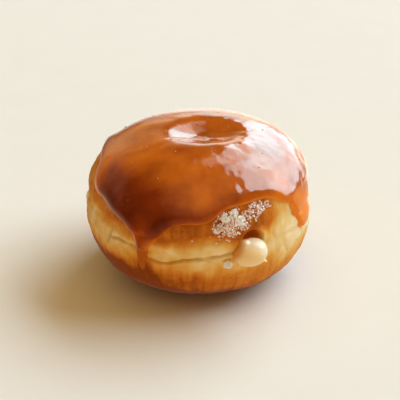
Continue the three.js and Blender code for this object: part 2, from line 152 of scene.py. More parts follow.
# azimuth, height, radius, pile, grains: the clumps first, then the loose scatter round them
SUGAR_PATCHES = [
    (-76.2, 44.2, 2.0, 1.6, 84), (-71.8, 45.2, 2.0, 1.6, 84), (-68.6, 42.6, 2.1, 1.4, 84),
    (-72.6, 42.0, 2.4, 1.0, 60), (-66.2, 40.0, 2.2, 0.7, 40), (-77.0, 41.0, 2.4, 0.8, 50),
    (-73.2, 38.7, 2.6, 0.9, 66), (-80.4, 40.6, 2.0, 1.0, 46), (-75.2, 25.9, 1.75, 2.4, 230),
    (-73.0, 41.5, 8.0, 0.1, 220), (-62.0, 43.6, 4.4, 0.3, 90), (-57.0, 45.2, 4.0, 0.3, 90),
    (-52.6, 45.0, 3.4, 0.2, 40),
]
# the high clumps get less of the grains' painted shade, so more of their grains are white
LESS_SHADED_PILE = {"from": 1.3, "darkest": 0.72}
# azimuth and height of grains that lie alone
LONE_GRAINS = [(-84, 37.8), (-92.5, 36.1), (-79, 36.2), (-63.3, 13.8), (-81, 35), (-69, 36.5)]


# ---- Small helpers ----

def as_arrays(*values):
    return np.broadcast_arrays(*(np.asarray(value, float) for value in values))


FLAT_TOP = 4  # the power of a hump with a flat top


def hump(distance, half_width, power=2):
    """1 at a hump's middle, 0.37 at its half width, 0 far out; a higher power flattens its top."""
    return np.exp(-np.abs(distance / half_width) ** power)


def azimuth_between(start, end):
    """Degrees from one azimuth to another, the short way round."""
    return (end - start + 540) % 360 - 180


def smooth_step(low, high, value):
    """0 at low and 1 at high, eased at both; low may be the larger."""
    t = np.clip((value - low) / (high - low), 0, 1)
    return t * t * (3 - 2 * t)


def cell_values(cells, seed):
    """A steady number from -1 to 1 for each whole-numbered cell."""
    x, y, z = np.moveaxis(cells, -1, 0)
    mixed = (x * 374761393 + y * 668265263 + z * 1440662683 + seed * 974634777) & 0xFFFFFFFF
    mixed = ((mixed ^ (mixed >> 13)) * 1274126177) & 0xFFFFFFFF
    mixed = ((mixed ^ (mixed >> 15)) * 668265263) & 0xFFFFFFFF
    return (mixed ^ (mixed >> 16)) / 0x7FFFFFFF - 1


def noise(points, size, seed, octaves):
    """Smooth unevenness from about -1 to 1, with features of one size and finer ones on them."""
    total = np.zeros(points.shape[:-1])
    weight = 1.0
    for octave in range(octaves):
        place = points * (2 ** octave / size)
        cells = np.floor(place).astype(np.int64)
        part = place - cells
        part = part * part * part * (part * (part * 6 - 15) + 10)
        value = np.zeros_like(total)
        for corner in np.ndindex(2, 2, 2):
            share = np.prod(np.where(corner, part, 1 - part), axis=-1)
            value += share * cell_values(cells + np.array(corner), seed + octave)
        total += weight * value
        weight *= 0.5
    return total


def uneven(points, *kinds):
    """The sum of noises, each given as strength, size, seed and octaves."""
    return sum(strength * noise(points, *kind) for strength, *kind in kinds)


def unit(vectors):
    return vectors / np.maximum(np.linalg.norm(vectors, axis=-1, keepdims=True), 1e-9)


# ---- The bun's surface ----

def waviness(azimuth, elevation):
    turn = np.radians(azimuth)
    climb = np.radians(elevation)
    return sum(size * np.sin(lobes * turn + rise * climb + phase) for lobes, rise, phase, size in WAVES)


def crease_depth(azimuth, height):
    depth = 0.0
    for middle, spread, level, wander, phase, half_width, deep in CREASES:
        line = level + wander * np.sin(CREASE_WAVES * np.radians(azimuth) + phase)
        along = azimuth_between(middle, azimuth)
        depth = depth + deep * hump(along, spread, FLAT_TOP) * hump(height - line, half_width)
    return depth


def swelling(place, azimuth, height):
    """How far one side of the bun swells out."""
    along = hump(azimuth_between(place["azimuth"], azimuth), place["spread"], FLAT_TOP)
    up = hump(height - place["height"], place["half_height"], place["power"])
    return place["size"] * along * up


def bun_point(azimuth, elevation, creased=False):
    """Where the bun's skin is at an azimuth and an elevation."""
    azimuth, elevation = as_arrays(azimuth, elevation)
    turn = np.radians(azimuth)
    climb = np.radians(elevation)
    above = elevation > 0
    power = np.where(above, DOME_POWER, BELLY_POWER)
    rise = np.where(above, DOME_RISE, BELLY_DROP)
    level = np.cos(climb)
    reach = ((level / WAIST_RADIUS) ** power + (np.abs(np.sin(climb)) / rise) ** power) ** (-1 / power)
    z = WAIST_HEIGHT + reach * np.sin(climb)
    radius = reach * level + level * waviness(azimuth, elevation)
    for middle, half_width, size, flatness in BELTS:
        radius = radius + size * hump(z - middle, half_width, flatness)
    radius = radius + swelling(BELLY_SWELL, azimuth, z) * level
    radius = radius + swelling(SHOULDER_SWELL, azimuth, z)
    if creased:
        radius = radius - crease_depth(azimuth, z)
    radius = np.maximum(radius, 0)
    x = radius * np.cos(turn)
    y = radius * np.sin(turn)
    z = z + CROWN_TILT * x * np.clip((z - WAIST_HEIGHT) / DOME_RISE, 0, 1)
    dimple = DIMPLE
    from_dimple = np.hypot((x - dimple["x"]) / dimple["half_long"],
                           (y - dimple["y"]) / dimple["half_wide"])
    z = z - dimple["depth"] * hump(from_dimple, 1, dimple["power"]) * above
    z = np.maximum(z, 0)
    return np.stack([x + LEAN * (z - WAIST_HEIGHT), y, z], -1)


NORMAL_STEP = 0.6  # degrees


def bun_normal(azimuth, elevation):
    step = NORMAL_STEP
    along = bun_point(azimuth + step, elevation) - bun_point(azimuth - step, elevation)
    low, high = np.maximum(elevation - step, -90), np.minimum(elevation + step, 90)
    up = bun_point(azimuth, high) - bun_point(azimuth, low)
    normals = unit(np.cross(along, up))
    at_pole = np.abs(np.asarray(elevation)) > 90 - step
    nought = 0 * normals[..., 0]
    pole = np.stack([nought, nought, nought + np.sign(elevation)], -1)
    return np.where(at_pole[..., None], pole, normals)


SIDE_OF_BUN = (-50.0, 70.0)  # elevations
HALVINGS = 30


def elevation_at(azimuth, height):
    """The elevation at which the bun reaches a height on the side of an azimuth."""
    azimuth, height = as_arrays(azimuth, height)
    low = np.full(azimuth.shape, SIDE_OF_BUN[0])
    high = np.full(azimuth.shape, SIDE_OF_BUN[1])
    for _ in range(HALVINGS):
        middle = (low + high) / 2
        below = bun_point(azimuth, middle)[..., 2] < height
        low = np.where(below, middle, low)
        high = np.where(below, high, middle)
    return (low + high) / 2


def outward_frame(azimuth, reach, height):
    """Origin and axes at an azimuth: right as seen from outside, up, and outward."""
    turn = math.radians(azimuth)
    outward = np.array([math.cos(turn), math.sin(turn), 0.0])
    up = np.array([0.0, 0.0, 1.0])
    right = np.cross(up, outward)
    return outward * reach + up * height, np.stack([right, up, outward])


def hole_place(points):
    """Places as seen from outside the fill hole: right of it, above it, and out from the bun's axis."""
    origin, axes = outward_frame(HOLE_AZIMUTH, 0, HOLE["height"])
    return (points - origin) @ axes.T


# ---- The glaze's edge and thickness ----

def edge_height(azimuth):
    height = GLAZE_EDGE_HEIGHT
    for middle, half_width, rise, power in EDGE_LOBES:
        height = height + rise * hump(azimuth_between(middle, azimuth), half_width, power)
    return height


EDGE_STEP = 0.25  # degrees
edge_azimuths = np.arange(-180, 180, EDGE_STEP)
edge_line = bun_point(edge_azimuths, elevation_at(edge_azimuths, edge_height(edge_azimuths)))
edge_tree = KDTree(len(edge_line))
for number, place in enumerate(edge_line):
    edge_tree.insert(place, number)
edge_tree.balance()


def distance_to_edge(points):
    """How far each point is from the line of the glaze's edge."""
    flat = points.reshape(-1, 3)
    near = np.array([edge_tree.find(place)[1] for place in flat])
    best = np.full(len(flat), np.inf)
    for side in (-1, 0):
        start = edge_line[(near + side) % len(edge_line)]
        span = edge_line[(near + side + 1) % len(edge_line)] - start
        along = np.clip(np.sum((flat - start) * span, -1) / np.sum(span * span, -1), 0, 1)
        best = np.minimum(best, np.linalg.norm(start + along[:, None] * span - flat, axis=-1))
    return best.reshape(points.shape[:-1])


def side_point(azimuth, height):
    """Where the bun's skin is at an azimuth and a height."""
    return bun_point(azimuth, elevation_at(azimuth, height))


drip_bulge = side_point(DRIP_BULGE["azimuth"], DRIP_BULGE["height"])
lip_middle = side_point(LIP["azimuth"], LIP["height"])


def on_run(run, azimuth, points):
    """1 on a run of glaze below its height, 0 past its sides and its fade over that height."""
    across = hump(azimuth_between(run["azimuth"], azimuth), run["half_width"], FLAT_TOP)
    return across * smooth_step(run["below"] + run["fade"], run["below"], points[..., 2])


def painted_shade_at(points):
    """How much painted shade the caramel gets: nearly 1 in the middle of the darkest spots, below 0 where
    it gets painted highlight.
    """
    total = np.zeros(points.shape[:-1])
    for azimuth, height, half_width, strength in PAINTED_SHADE_SPOTS:
        middle = side_point(azimuth, height)
        total += strength * hump(np.linalg.norm(points - middle, axis=-1), half_width)
    shade = DIMPLE_PAINTED_SHADE
    from_middle = np.hypot(points[..., 0] - shade["x"], points[..., 1] - shade["y"])
    total += shade["strength"] * hump(from_middle, shade["half_width"], shade["power"])
    return np.tanh(total)


def glaze_thickness(azimuth, points, inset):
    bead = GLAZE_BEAD["size"] * hump(inset - GLAZE_BEAD["inset"], GLAZE_BEAD["half_width"])
    bead = bead * (1 - on_run(FLAT_DRIP, azimuth, points))
    bulge = DRIP_BULGE["size"] * hump(np.linalg.norm(points - drip_bulge, axis=-1), DRIP_BULGE["radius"])
    thinning = 1 - THIN_RUN["thinning"] * on_run(THIN_RUN, azimuth, points)
    full = (GLAZE_THICKNESS + bead + bulge) * thinning
    return full * np.tanh(GLAZE_EDGE_SLOPE * inset / full)


# ---- Meshes ----

def add_marks(mesh, marks):
    """Values at the points of a mesh, for its material to read."""
    for title, values in marks.items():
        layer = mesh.attributes.new(title, "FLOAT", "POINT")
        layer.data.foreach_set("value", values.astype(np.float32))


def make_piece(name, points, faces, marks=None, smooth=True):
    """A mesh object from points in millimetres."""
    mesh = bpy.data.meshes.new(name)
    mesh.from_pydata((points * MM).tolist(), [], faces)
    add_marks(mesh, marks or {})
    mesh.polygons.foreach_set("use_smooth", [smooth] * len(mesh.polygons))
    mesh.update()
    piece = bpy.data.objects.new(name, mesh)
    bpy.context.scene.collection.objects.link(piece)
    return piece


def round_steps(columns):
    """Each column and the next one round."""
    here = np.arange(columns)
    return here, (here + 1) % columns


def band_faces(columns, rings, first):
    """Faces between rings of columns, whose corners are numbered from the first one up."""
    here, after = round_steps(columns)
    low = first + columns * np.arange(rings - 1)[:, None]
    high = low + columns
    return np.stack([low + here, low + after, high + after, high + here], -1).reshape(-1, 4)


def ring_faces(columns, rings):
    """Faces of a closed skin of rings from the lowest up, of which the first and last are one point."""
    top = 1 + (rings - 2) * columns
    last = top - columns
    pairs = list(zip(*round_steps(columns)))
    faces = [[0, 1 + b, 1 + a] for a, b in pairs]
    faces += band_faces(columns, rings - 2, 1).tolist()
    return faces + [[last + a, last + b, top] for a, b in pairs]


def spaced(stops):
    """Values from stops of (value, step up to the next stop)."""
    values = []
    for (start, step), (end, _) in zip(stops, stops[1:]):
        count = max(1, round((end - start) / step))
        values += list(np.linspace(start, end, count, endpoint=False))
    return np.array(values + [stops[-1][0]])


def joined(parts):
    """Points and faces of several parts as one."""
    points, faces, count = [], [], 0
    for place, corners in parts:
        points.append(place)
        faces += [[corner + count for corner in face] for face in corners]
        count += len(place)
    return np.concatenate(points), faces


def ball(origin, axes, centre, half, columns=48, rows=24):
    """Points and faces of an ellipsoid in a frame."""
    rise = np.linspace(-90, 90, rows)
    turn = np.linspace(0, 360, columns, endpoint=False)
    turns, rises = np.meshgrid(np.radians(turn), np.radians(rise[1:-1]))
    shape = np.stack([np.cos(rises) * np.cos(turns), np.cos(rises) * np.sin(turns), np.sin(rises)], -1)
    shape = np.concatenate([[[0, 0, -1]], shape.reshape(-1, 3), [[0, 0, 1]]])
    local = shape * np.array(half) + np.array(centre)
    return origin + local @ axes, ring_faces(columns, rows)


# ---- The dough ----

DOUGH_AZIMUTHS = spaced([(-180, 0.8), (-140, 0.6), (-84, 0.34), (-42, 0.6), (0, 0.9), (180, 1)])[:-1]
DOUGH_ELEVATIONS = spaced([
    (-90, 6), (-60, 1.2), (-35, 0.7), (-12, 0.5), (22, 0.6), (40, 2), (60, 6), (90, 1),
])

# azimuth and height of the pale band's borders
PALE_TOP = [
    (180, 35.5), (-155, 36.5), (-135, 34.5), (-112, 33.2), (-95, 34.1), (-84, 36.0), (-76, 36.0),
    (-72.5, 34.2), (-68, 34.5), (-60, 36.0), (-52, 34.5), (-45, 37.5), (-38, 41), (-25, 38),
    (0, 36),
]
PALE_BOTTOM = [
    (180, 26.6), (-145, 27.0), (-130, 26.6), (-120, 26.4), (-105, 25.6), (-86, 25.2), (-74, 24.6),
    (-68, 25.0), (-52, 26.6), (-42, 23.6), (-20, 22.4),
]
# azimuth and strength of the browning above and below the band, and of the band's own gold; below the
# band it also holds painted shade, stronger on the shaded left and weaker on the lit lower right
UPPER_BROWNING = [
    (180, 0.36), (-165, 0.48), (-150, 0.60), (-125, 0.74), (-95, 0.87), (-70, 0.87), (-58, 0.87),
    (-51, 0.78), (-44, 0.34), (-32, 0.24), (10, 0.5), (60, 0.72), (120, 0.72),
]
LOWER_BROWNING_AND_SHADE = [
    (180, 1.1), (-145, 1.08), (-130, 1.1), (-110, 0.94), (-85, 0.78), (-60, 0.68), (-35, 0.66),
    (0, 0.75), (90, 1.0),
]
GOLDEN = [
    (180, 0.18), (-140, 0.19), (-120, 0.25), (-100, 0.18), (-80, 0.18), (-60, 0.12), (-45, 0.05),
    (-30, 0.03), (20, 0.08), (90, 0.16),
]
# heights above the border where the browning begins and is full
UPPER_FADE = (-2.8, 3.4)
LOWER_FADE = (3.4, -9.5)
# painted shade in a ring by the base, where the bun meets the floor: heights where it begins and is full
BASE_PAINTED_SHADE = dict(begins=15, full=0.5, strength=0.55)
# where the thin run has soaked into the dough: heights where this begins and is full, at foot and head
STAIN = dict(azimuth=-116.6, half_width=4.2, strength=0.55, foot=(9.0, 12.0), head=(34, 29))

# unevenness of the band's borders, of the tones and of the relief: strength, size, seed, octaves
TOP_WANDER = (1.0, 6, 11, 1)
BOTTOM_WANDER = (1.2, 5, 12, 1)
STREAKS = (1.0, 1.3, 13, 2)
BLOTCHES = (0.07, 4.2, 14, 2)
FINE_BLOTCHES = (0.03, 1.1, 15, 2)
GOLD_PATCHES = (0.14, 4.5, 16, 2)
CRUST = (0.12, 4, 21, 3)
FINE_CRUST = (0.05, 1.3, 22, 2)
ROLLS = (1.0, 6, 24, 2)
# how much of the streaks shows in each
STREAK_SHARE = dict(top=0.45, bottom=0.4, tone=0.05, relief=0.09)
# how much of the height counts for streaks, which are tall and thin, and for the pale band's rolls
STREAK_SQUASH = 0.1
ROLL_SQUASH = 0.9
DEGREE_LENGTH = 0.8  # about how far a degree goes along the waist
PILLOWS = dict(rise=1.15, flat_from=0.6, sunk=0.3)
OFF_BASE = (0.05, 2.5)  # heights between which the relief sets in above the flat base
# a crease's painted shade is full at this depth
FULL_CREASE = 1.2  # the depth at which a crease has its full colour
FULL_BLOTCHES = 0.5  # the browning from which the blotches are at full strength

# shares of the hole's half size between which its wall drops
PIT_WALL = (1.16, 0.72)
# the rolled edge over the hole: its place and half width in such shares, and where it sets in, in height
RIM_ROLL = dict(size=0.6, place=1.28, half_width=0.25, above=(-1, 2))


def round_bun(places, azimuth):
    """A value that runs through its named places round the bun."""
    ordered = sorted((a % 360, value) for a, value in places)
    angles = [a for a, _ in ordered]
    values = [value for _, value in ordered]
    return np.interp(azimuth % 360, angles, values, period=360)


def unrolled(azimuth, height, squash):
    """Places on the bun's side, rolled out flat and squashed in height."""
    return np.stack([azimuth * DEGREE_LENGTH, height * squash, 0 * height], -1)


def dough_tone_and_shade(points, azimuth, streaks):
    """The tone from palest to darkest, with painted shade in it by the base and on the shaded lower left;
    the plain browning; and the part of it above the band.
    """
    height = points[:, 2]
    upper = height - round_bun(PALE_TOP, azimuth) - uneven(points, TOP_WANDER)
    upper = upper - STREAK_SHARE["top"] * streaks
    above = smooth_step(*UPPER_FADE, upper) * round_bun(UPPER_BROWNING, azimuth)
    lower = height - round_bun(PALE_BOTTOM, azimuth) - uneven(points, BOTTOM_WANDER)
    lower = lower - STREAK_SHARE["bottom"] * streaks
    below = smooth_step(*LOWER_FADE, lower) * round_bun(LOWER_BROWNING_AND_SHADE, azimuth)
    base_shade = smooth_step(BASE_PAINTED_SHADE["begins"], BASE_PAINTED_SHADE["full"], height) * BASE_PAINTED_SHADE["strength"]
    stain = STAIN["strength"] * hump(azimuth_between(STAIN["azimuth"], azimuth), STAIN["half_width"])
    stain = stain * smooth_step(*STAIN["foot"], height) * smooth_step(*STAIN["head"], height)
    browned = above + below + stain
    golden = round_bun(GOLDEN, azimuth) + uneven(points, GOLD_PATCHES)
    blotches = uneven(points, BLOTCHES, FINE_BLOTCHES)
    patchy = (blotches + STREAK_SHARE["tone"] * streaks) * np.minimum(browned / FULL_BLOTCHES, 1)
    tone = np.clip(browned + base_shade + patchy + golden * (1 - np.minimum(browned, 1)), 0, 1)
    return tone, browned, above


def dough_relief(points, azimuth, streaks, browned, above):
    """How far the crust stands off the plain bun."""
    height = points[:, 2]
    crust = uneven(points, CRUST, FINE_CRUST)
    wrinkles = STREAK_SHARE["relief"] * streaks * above
    rolls = np.abs(uneven(unrolled(azimuth, height, ROLL_SQUASH), ROLLS))
    pillows = PILLOWS["rise"] * np.minimum(rolls, PILLOWS["flat_from"]) - PILLOWS["sunk"]
    pillows = pillows * (1 - np.clip(browned, 0, 1))
    lip = LIP["size"] * hump(np.linalg.norm(points - lip_middle, axis=-1), LIP["radius"])
    return (crust + wrinkles + pillows) * smooth_step(*OFF_BASE, height) + lip


def upright_depth(azimuth, height):
    depth = 0
    for middle, level, half_height, half_width, deep in UPRIGHT_FOLDS:
        aside = azimuth_between(middle + UPRIGHT_LEAN * (height - level), azimuth)
        depth = depth + deep * hump(aside, half_width) * hump(height - level, half_height, FLAT_TOP)
    return depth


def press_hole(points, normals):
    """The points with the fill hole pressed in and its edge rolled up, and how deep each lies in it."""
    local = hole_place(points)
    in_front = local[:, 2] > 0
    rim = np.hypot(local[:, 0] / HOLE["half_width"], local[:, 1] / HOLE["half_height"])
    pit = smooth_step(*PIT_WALL, rim) * in_front
    _, axes = outward_frame(HOLE_AZIMUTH, 0, 0)
    points = points - axes[2] * (HOLE["depth"] * pit)[:, None]
    roll = RIM_ROLL["size"] * hump(rim - RIM_ROLL["place"], RIM_ROLL["half_width"]) * in_front
    roll = roll * smooth_step(*RIM_ROLL["above"], local[:, 1])
    return points + normals * roll[:, None], pit


def build_dough():
    azimuths, elevations = np.meshgrid(DOUGH_AZIMUTHS, DOUGH_ELEVATIONS[1:-1])
    azimuth = np.concatenate([[0], azimuths.ravel(), [0]])
    elevation = np.concatenate([[-90], elevations.ravel(), [90]])
    points = bun_point(azimuth, elevation, creased=True)
    normals = bun_normal(azimuth, elevation)
    height = points[:, 2]

    streaks = uneven(unrolled(azimuth, height, STREAK_SQUASH), STREAKS)
    tone, browned, above = dough_tone_and_shade(points, azimuth, streaks)
    relief = dough_relief(points, azimuth, streaks, browned, above)
    upright = upright_depth(azimuth, height)
    crease = np.clip((crease_depth(azimuth, height) + upright) / FULL_CREASE, 0, 1)
    points, pit = press_hole(points + normals * relief[:, None] - normals * upright[:, None], normals)

    faces = ring_faces(len(DOUGH_AZIMUTHS), len(DOUGH_ELEVATIONS))
    return make_piece("dough_crust", points, faces, {"browning_and_shade": tone, "pit": pit, "crease": crease})


# ---- The glaze ----

GLAZE_AZIMUTHS = spaced([(-180, 0.8), (-130, 0.4), (-104, 0.7), (-40, 0.45), (-12, 0.8), (180, 1)])[:-1]
GLAZE_ELEVATIONS = spaced([(-24, 0.6), (31, 0.8), (60, 1.4), (86, 2), (90, 1)])
PLUNGE = 1.3  # how far past its edge the glaze goes on into the dough
PLUNGE_SLOPE = 1.6
UNDERSIDE = 1.7  # how far under the dough's surface the glaze's hidden side lies
# unevenness all over: strength, size, seed, octaves; and how far in from the edge it sets in
RIPPLE = (0.12, 9, 31, 1)
FINE_RIPPLE = (0.05, 3.5, 32, 2)
RIPPLE_INSET = (0.5, 3)
# unevenness on the right shoulder, and the heights between which it sets in
MOTTLES = (0.17, 6, 33, 2)
FINE_MOTTLES = (0.035, 1.8, 34, 1)
MOTTLED = dict(azimuth=-25, half_width=48, height=(38, 50))
# small air bubbles, sunk by a share of their radius; none near the edge or at the back
BUBBLES = dict(seed=5, count=26, radius=(0.28, 0.55), sunk=0.45, least_inset=2, front_of=20)
BUBBLE_BALL = dict(columns=12, rows=8)


def glaze_ripple(azimuth, points):
    mottled = hump(azimuth_between(MOTTLED["azimuth"], azimuth), MOTTLED["half_width"], FLAT_TOP)
    mottled = mottled * smooth_step(*MOTTLED["height"], points[:, 2])
    return uneven(points, RIPPLE, FINE_RIPPLE) + mottled * uneven(points, MOTTLES, FINE_MOTTLES)


def coat_faces(columns, rings, kept):
    """Faces of a coat: what is kept of rings of columns under a pole point, its inner skin and its rim."""
    here, after = round_steps(columns)
    quads = band_faces(columns, rings, 0)
    quads = quads[kept[quads].any(-1)]
    last = (rings - 1) * columns
    pole = rings * columns
    caps = np.stack([last + here, last + after, np.full(columns, pole)], -1)

    inner = pole + 1
    faces = quads.tolist() + caps.tolist()
    faces += (quads[:, ::-1] + inner).tolist() + (caps[:, ::-1] + inner).tolist()
    edges = {}
    for corners in [*quads, *caps]:
        for a, b in zip(corners, np.roll(corners, -1)):
            edges[(a, b)] = True
    faces += [[a, a + inner, b + inner, b] for a, b in edges if (b, a) not in edges]
    return faces


def glaze_bubbles(outer, normals, seats):
    """Air bubbles, each as the point that it sits on, its points and its faces."""
    random = np.random.default_rng(BUBBLES["seed"])
    for seat in random.permutation(seats)[:BUBBLES["count"]]:
        radius = random.uniform(*BUBBLES["radius"])
        push_in = radius * BUBBLES["sunk"]
        middle = outer[seat] - normals[seat] * push_in
        yield seat, *ball(middle, np.eye(3), (0, 0, 0), (radius,) * 3, **BUBBLE_BALL)


def build_glaze():
    azimuths, elevations = np.meshgrid(GLAZE_AZIMUTHS, GLAZE_ELEVATIONS[:-1])
    azimuth = np.concatenate([azimuths.ravel(), [0]])
    elevation = np.concatenate([elevations.ravel(), [90]])
    base = bun_point(azimuth, elevation)
    normals = bun_normal(azimuth, elevation)
    inset = distance_to_edge(base) * np.where(base[:, 2] < edge_height(azimuth), -1, 1)
    over = inset > 0
    thick = glaze_thickness(azimuth, base, np.maximum(inset, 0))
    stand = np.where(over, GAP + thick, GAP + PLUNGE_SLOPE * inset)
    stand = stand + glaze_ripple(azimuth, base) * smooth_step(*RIPPLE_INSET, inset)
    outer = base + normals * stand[:, None]
    inner = base - normals * UNDERSIDE
    points = np.concatenate([outer, inner])

    faces = coat_faces(len(GLAZE_AZIMUTHS), len(GLAZE_ELEVATIONS) - 1, inset > -PLUNGE)
    used = np.zeros(len(points), bool)
    for face in faces:
        used[face] = True
    order = np.cumsum(used) - 1
    parts = [(points[used], [[int(order[corner]) for corner in face] for face in faces])]
    seats = [np.flatnonzero(used) % len(base)]
    free = np.flatnonzero((inset > BUBBLES["least_inset"]) & (base[:, 1] < BUBBLES["front_of"]))
    for seat, place, corners in glaze_bubbles(outer, normals, free):
        parts.append((place, corners))
        seats.append(np.full(len(place), seat))

    marks = {
        "depth": thick * over,
        "run": on_run(THIN_RUN, azimuth, base),
        "dull": on_run(FLAT_DRIP, azimuth, base),
        # painted shade and painted highlight on the caramel
        "pool": painted_shade_at(base),
    }
    seats = np.concatenate(seats)
    marks = {title: values[seats] for title, values in marks.items()}
    return make_piece("glaze_coat", *joined(parts), marks)


# ---- The cream ----

VOXEL = 0.28
SOFTENING = dict(factor=0.5, iterations=6)
FOLD_STEPS = 37
FOLD_HEIGHT = 0.8  # of the fold's width
FOLD_BALL = dict(columns=16, rows=9)
# where the cream turns from its own yellow to white, a painted highlight on its lit top right: what places
# aside and above count for, and where the change begins and is full
CREAM_LIT_WHITE = dict(aside=0.62, above=0.78, begins=-0.6, full=2.9)
LIT_WHITE_WANDER = (0.5, 2.2, 41, 2)
# where the cream turns brown-orange at its upper left: the border's place and slope
CREAM_BROWN_EDGE = dict(slope=0.62, aside=-6.2, begins=1.5, full=-1.2)
# these borders' heights are as seen from this far above, and are counted from this far under the
# blob's middle
BORDER_TILT = math.radians(28)
CREAM_LEVEL = 0.5
# how far out of the blob's middle the cream inside the hole turns a deep orange, as painted shade
CREAM_HOLE_SHADE = (-2.4, -3.8)


def cream_parts(origin, axes):
    """Balls that together make the blob, its bulges and fold, its neck and its core."""
    yield ball(origin, axes, (0, 0, 0), (BLOB["across"], BLOB["up"], BLOB["deep"]))
    for bulge in (BLOB_CROWN, BLOB_SHOULDER):
        centre = (bulge["aside"], bulge["above"], bulge["out"])
        yield ball(origin, axes, centre, (bulge["across"], bulge["up"], bulge["deep"]))
    fold = np.array(BLOB_FOLD)
    for step in np.linspace(0, len(fold) - 1, FOLD_STEPS):
        *centre, radius = (np.interp(step, range(len(fold)), column) for column in fold.T)
        yield ball(origin, axes, centre, (radius, radius * FOLD_HEIGHT, radius), **FOLD_BALL)
    neck_height = HOLE["height"] - HOLE["half_height"] + GAP + NECK["half_height"]
    neck_origin, hole_axes = outward_frame(HOLE_AZIMUTH, NECK["middle"], neck_height)
    neck_size = (HOLE["half_width"] - GAP, NECK["half_height"], NECK["half_length"])
    yield ball(neck_origin, hole_axes, (0, 0, 0), neck_size)
    core_origin, hole_axes = outward_frame(HOLE_AZIMUTH, 0, CORE["height"])
    yield ball(core_origin, hole_axes, (0, 0, 0), (CORE["radius"], CORE["half_height"], CORE["radius"]))


def merge_and_soften(piece):
    """The piece's overlapping parts as one soft skin."""
    merge = piece.modifiers.new("merge", "REMESH")
    merge.mode = "VOXEL"
    merge.voxel_size = VOXEL * MM
    merge.use_smooth_shade = True
    soften = piece.modifiers.new("soften", "SMOOTH")
    soften.factor = SOFTENING["factor"]
    soften.iterations = SOFTENING["iterations"]
    graph = bpy.context.evaluated_depsgraph_get()
    mesh = bpy.data.meshes.new_from_object(piece.evaluated_get(graph))
    old = piece.data
    piece.modifiers.clear()
    piece.data = mesh
    bpy.data.meshes.remove(old)
    mesh.name = piece.name
    mesh.polygons.foreach_set("use_smooth", [True] * len(mesh.polygons))


def cream_tints(points, origin, axes):
    """How much of the painted highlight's white, of the brown at its upper left and of the painted shade
    deep inside the hole the cream gets.
    """
    aside, up, out = ((points - origin) @ axes.T).T
    above = up * math.cos(BORDER_TILT) - out * math.sin(BORDER_TILT) + CREAM_LEVEL
    lit_white = CREAM_LIT_WHITE["aside"] * aside + CREAM_LIT_WHITE["above"] * above + uneven(points, LIT_WHITE_WANDER)
    border = CREAM_BROWN_EDGE["aside"] + CREAM_BROWN_EDGE["slope"] * above
    return {
        "lit_white": smooth_step(CREAM_LIT_WHITE["begins"], CREAM_LIT_WHITE["full"], lit_white),
        "stain": smooth_step(CREAM_BROWN_EDGE["begins"], CREAM_BROWN_EDGE["full"], aside - border),
        "hole_shade": smooth_step(*CREAM_HOLE_SHADE, out),
    }


def build_cream():
    origin, axes = outward_frame(BLOB["azimuth"], BLOB["reach"], BLOB["height"])
    piece = make_piece("cream_filling", *joined(cream_parts(origin, axes)))
    merge_and_soften(piece)
    points = np.array([corner.co for corner in piece.data.vertices]) / MM
    add_marks(piece.data, cream_tints(points, origin, axes))
    return piece


# ---- The sugar ----

BLOCK_FACES = [[0, 1, 3, 2], [4, 6, 7, 5], [0, 4, 5, 1], [2, 3, 7, 6], [0, 2, 6, 4], [1, 5, 7, 3]]
SUGAR_CLEARANCE = 0.3  # from the glaze
# how far out of the cream's middle and of the hole's a grain lies at least, in shares of their half sizes
OFF_CREAM = 1.12
OFF_HOLE = 1.25
SLOPE_SHARE = 0.8  # how much of a step up the sloping side is height
CROWDING = 0.6  # grains are spread evenly over a patch at 0.5 and crowd in its middle above that


def rotation(random):
    """A random turn, as a matrix."""
    q = unit(random.normal(size=4))
    w, x, y, z = q
    return np.array([
        [1 - 2 * (y * y + z * z), 2 * (x * y - z * w), 2 * (x * z + y * w)],
        [2 * (x * y + z * w), 1 - 2 * (x * x + z * z), 2 * (y * z - x * w)],
        [2 * (x * z - y * w), 2 * (y * z + x * w), 1 - 2 * (x * x + y * y)],
    ])


def grain_fits(seat, azimuth, height):
    """Whether a grain's seat is clear of the glaze, the cream and the hole."""
    if height > edge_height(azimuth) or distance_to_edge(seat[None])[0] < SUGAR_CLEARANCE:
        return False
    origin, axes = outward_frame(BLOB["azimuth"], BLOB["reach"], BLOB["height"])
    in_blob = (seat - origin) @ axes.T / np.array([BLOB["across"], BLOB["up"], BLOB["deep"]])
    if np.linalg.norm(in_blob) < OFF_CREAM:
        return False
    in_hole = hole_place(seat)
    return math.hypot(in_hole[0] / HOLE["half_width"], in_hole[1] / HOLE["half_height"]) >= OFF_HOLE


